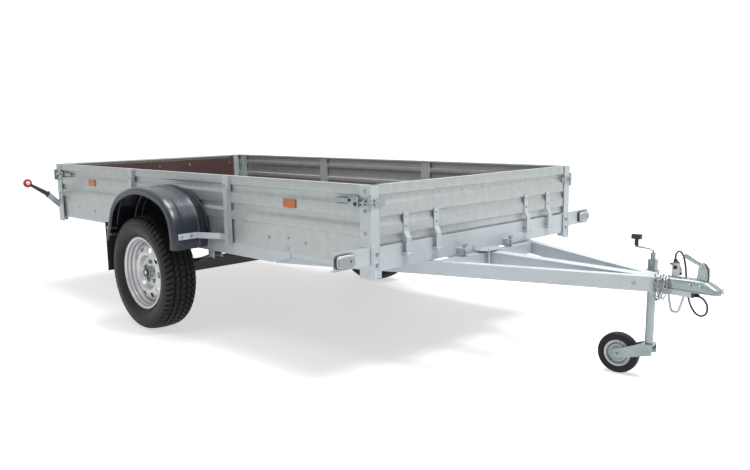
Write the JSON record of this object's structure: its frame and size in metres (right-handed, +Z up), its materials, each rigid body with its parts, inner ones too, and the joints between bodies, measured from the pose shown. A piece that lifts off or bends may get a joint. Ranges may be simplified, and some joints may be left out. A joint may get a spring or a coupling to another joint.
{
  "type": "utility trailer",
  "caption": "Single-axle box trailer with ribbed galvanised drop walls, plastic mudguards, a tipping V drawbar with ball coupling, and a jockey wheel.",
  "frame": {"origin": "on the ground, under the middle of the whole trailer's box", "axes": "+X forward, towards the coupling; +Y to the trailer's left; +Z up"},
  "size_m": [4.132, 1.9618, 0.85],
  "materials": {
    "amber": "amber prismatic reflector",
    "black_paint": "satin black paint",
    "black_plastic": "fine-grained moulded plastic",
    "galvanised": "spangled hot-dip galvanised steel",
    "lamp_red": "red lens over a black housing",
    "lamp_white": "clear lens over a white housing",
    "plate_white": "blank white plate",
    "plywood": "film-faced birch plywood",
    "silver_paint": "satin silver paint",
    "tyre_rubber": "matt moulded rubber",
    "zinc_plate": "zinc-plated steel"
  },
  "bodies": {
    "bed": {"axle_beam": "black_paint", "bed_lock_lugs": "galvanised", "corner_posts": "galvanised", "cross_members": "galvanised", "fender_left": "black_plastic", "fender_right": "black_plastic", "fender_stays": "galvanised", "floor_panel": "plywood", "front_beam": "galvanised", "front_lamps": "lamp_white", "gate_hinge_brackets": "galvanised", "lamp_brackets": "galvanised", "latches": "zinc_plate", "leaf_springs": "black_paint", "mud_flaps": "black_plastic", "number_plate": "plate_white", "rear_beam": "galvanised", "rear_lamps": "lamp_red", "side_frames": "galvanised", "side_lamps": "lamp_red", "side_panel_left": "galvanised", "side_panel_right": "galvanised", "side_reflectors": "amber", "spring_clamps": "black_paint", "spring_hangers": "galvanised", "stakes": "galvanised", "under_rails": "galvanised", "wing_bolts": "zinc_plate"},
    "drawbar": {"v_rails": "galvanised", "centre_rail": "galvanised", "drawbar_cross_bar": "galvanised", "pivot_tube": "galvanised", "rail_end_cap": "black_plastic", "coupling_head": "zinc_plate", "coupling_handle": "zinc_plate", "jockey_clamp": "zinc_plate", "jockey_outer_tube": "zinc_plate", "jockey_crank": "zinc_plate", "crank_knob": "black_plastic", "plug_holder": "galvanised", "plug": "black_plastic", "cable": "black_plastic", "safety_chain": "zinc_plate", "hanger_loop": "galvanised"},
    "wheel_right": {"hub_right": "silver_paint", "rim_right": "silver_paint", "tyre_right": "tyre_rubber"},
    "wheel_left": {"hub_left": "silver_paint", "rim_left": "silver_paint", "tyre_left": "tyre_rubber"},
    "tailgate": {"tailgate_panel": "galvanised", "tailgate_lining": "plywood", "tailgate_straps": "galvanised"},
    "front_gate": {"front_gate_panel": "galvanised", "front_gate_straps": "galvanised"},
    "jockey_leg": {"jockey_leg_tube": "zinc_plate"},
    "jockey_fork": {"jockey_fork_frame": "zinc_plate"},
    "jockey_wheel": {"jockey_hub": "silver_paint", "jockey_tyre": "tyre_rubber"}
  },
  "joints": [
    {"name": "wheel_right_spin", "type": "hinge", "parent": "bed", "child": "wheel_right", "pos_m": [-0.62, -0.86, 0.31], "axis": [0, 1, 0], "continuous": true},
    {"name": "wheel_left_spin", "type": "hinge", "parent": "bed", "child": "wheel_left", "pos_m": [-0.62, 0.86, 0.31], "axis": [0, 1, 0], "continuous": true},
    {"name": "drawbar_tip", "type": "hinge", "parent": "bed", "child": "drawbar", "pos_m": [0.26, 0, 0.47227], "axis": [0, 1, 0], "range_deg": [0, 28]},
    {"name": "front_gate_drop", "type": "hinge", "parent": "bed", "child": "front_gate", "pos_m": [0.978, 0, 0.546], "axis": [0, 1, 0], "range_deg": [0, 90]},
    {"name": "tailgate_drop", "type": "hinge", "parent": "bed", "child": "tailgate", "pos_m": [-2.058, 0, 0.546], "axis": [0, -1, 0], "range_deg": [0, 180]},
    {"name": "jockey_lift", "type": "slide", "parent": "drawbar", "child": "jockey_leg", "axis": [0, 0, 1], "range_m": [-0.015, 0.065]},
    {"name": "jockey_swivel", "type": "hinge", "parent": "jockey_leg", "child": "jockey_fork", "pos_m": [1.722, 0.15, 0.15], "axis": [0, 0, 1], "continuous": true},
    {"name": "jockey_wheel_spin", "type": "hinge", "parent": "jockey_fork", "child": "jockey_wheel", "pos_m": [1.59495, 0.1344, 0.09], "axis": [0.1219, -0.9925, 0], "continuous": true}
  ]
}
